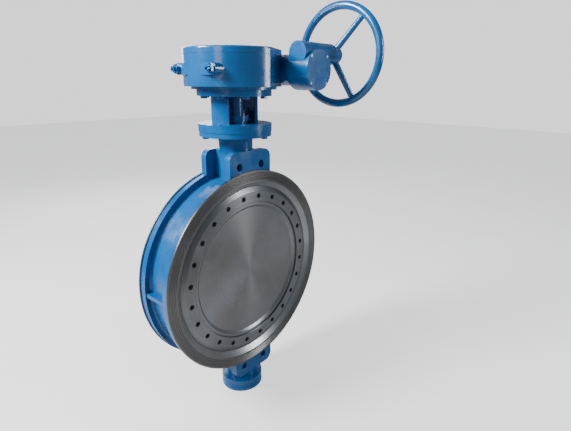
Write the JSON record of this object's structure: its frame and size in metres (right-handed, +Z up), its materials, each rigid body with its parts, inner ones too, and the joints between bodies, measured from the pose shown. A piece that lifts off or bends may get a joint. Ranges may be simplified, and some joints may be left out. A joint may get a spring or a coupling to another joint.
{
  "type": "butterfly valve",
  "caption": "Large wafer butterfly valve with a metal-seated disc on a vertical stem, turned through a worm gearbox and a worm reducer by a three-spoked handwheel.",
  "frame": {"origin": "centre of the underside of the bottom cap, on the stem axis", "axes": "+Z up the stem, Y along the pipe with -Y out of the face that shows the retaining ring, +X towards the handwheel"},
  "size_m": [0.8959, 0.63, 1.742],
  "materials": {
    "body_blue_paint": "gloss",
    "gearbox_blue_paint": "gloss",
    "handwheel_blue_paint": "gloss",
    "painted_fasteners": "gloss",
    "machined_disc_steel": "satin, turned",
    "retaining_ring_steel": "satin, turned",
    "polished_seat_steel": "ground",
    "turned_steel": "turned",
    "stem_steel": "turned, with blue enamel where it shows in the yoke",
    "zinc_fastener_steel": "zinc plated",
    "black_oxide_screws": "black oxide",
    "bronze": "satin",
    "graphite": "matte",
    "seal_rubber": "matte",
    "indicator_plate_metal": "satin",
    "indicator_pointer_paint": "semi-gloss",
    "bearing_steel": "ground"
  },
  "bodies": {
    "body": {"valve_body": "body_blue_paint", "seat_ring": "polished_seat_steel", "upper_bush": "bronze", "lower_bush": "bronze", "thrust_washers": "bronze", "packing_rings": "graphite", "gland_bush": "body_blue_paint", "gland_flange": "body_blue_paint", "gland_studs": "painted_fasteners", "gland_nuts": "painted_fasteners", "bottom_thrust_plate": "bronze", "bottom_gasket": "graphite", "bottom_cap": "body_blue_paint", "bottom_cap_screws": "zinc_fastener_steel", "yoke": "body_blue_paint", "body_flange_bolts": "painted_fasteners", "gearbox_flange_bolts": "painted_fasteners", "gearbox_housing": "gearbox_blue_paint", "gearbox_stem_bush": "bronze", "gearbox_gasket": "graphite", "gearbox_cover": "gearbox_blue_paint", "gearbox_cover_screws": "zinc_fastener_steel", "stop_screws": "painted_fasteners", "stop_nuts": "painted_fasteners", "indicator_plate": "indicator_plate_metal", "main_bearing_outer_rings": "bearing_steel", "worm_tube_cap": "gearbox_blue_paint", "worm_tube_cap_screws": "painted_fasteners", "main_shaft_seal": "seal_rubber", "reducer_housing": "gearbox_blue_paint", "reducer_cover": "gearbox_blue_paint", "reducer_cover_screws": "zinc_fastener_steel", "reducer_flange_screws": "zinc_fastener_steel", "input_bearing_outer_rings": "bearing_steel", "input_shaft_seal": "seal_rubber", "input_tube_plug": "gearbox_blue_paint"},
    "disc_and_stem": {"disc": "machined_disc_steel", "seal_ring_layers": "polished_seat_steel", "retaining_ring": "retaining_ring_steel", "ring_screws": "black_oxide_screws", "stem": "stem_steel", "disc_pins": "turned_steel", "worm_wheel": "bronze", "worm_wheel_keys": "turned_steel", "indicator_pointer": "indicator_pointer_paint"},
    "main_worm_shaft": {"main_worm": "turned_steel", "main_bearing_inner_rings": "bearing_steel", "main_bearing_balls": "bearing_steel", "reducer_wheel": "bronze", "reducer_wheel_key": "turned_steel"},
    "input_shaft_and_handwheel": {"input_worm": "turned_steel", "input_bearing_inner_rings": "bearing_steel", "input_bearing_balls": "bearing_steel", "handwheel": "handwheel_blue_paint", "handwheel_key": "turned_steel", "handwheel_washer": "zinc_fastener_steel", "handwheel_nut": "zinc_fastener_steel"}
  },
  "joints": [
    {"name": "handwheel_turn", "type": "hinge", "parent": "body", "child": "input_shaft_and_handwheel", "pos_m": [0.4, -0.219, 1.528], "axis": [1, 0, 0], "range_deg": [0, 112320]},
    {"name": "main_worm_turn", "type": "hinge", "parent": "body", "child": "main_worm_shaft", "pos_m": [0.199, 0, 1.465], "axis": [0, 1, 0], "range_deg": [-4680, 0]},
    {"name": "stem_turn", "type": "hinge", "parent": "body", "child": "disc_and_stem", "pos_m": [0, 0, 0.62], "axis": [0, 0, 1], "range_deg": [0, 90]}
  ],
  "couplings": [
    {"joint": "main_worm_turn", "follows": "handwheel_turn", "ratio": -0.041667},
    {"joint": "stem_turn", "follows": "handwheel_turn", "ratio": 0.00080128}
  ]
}
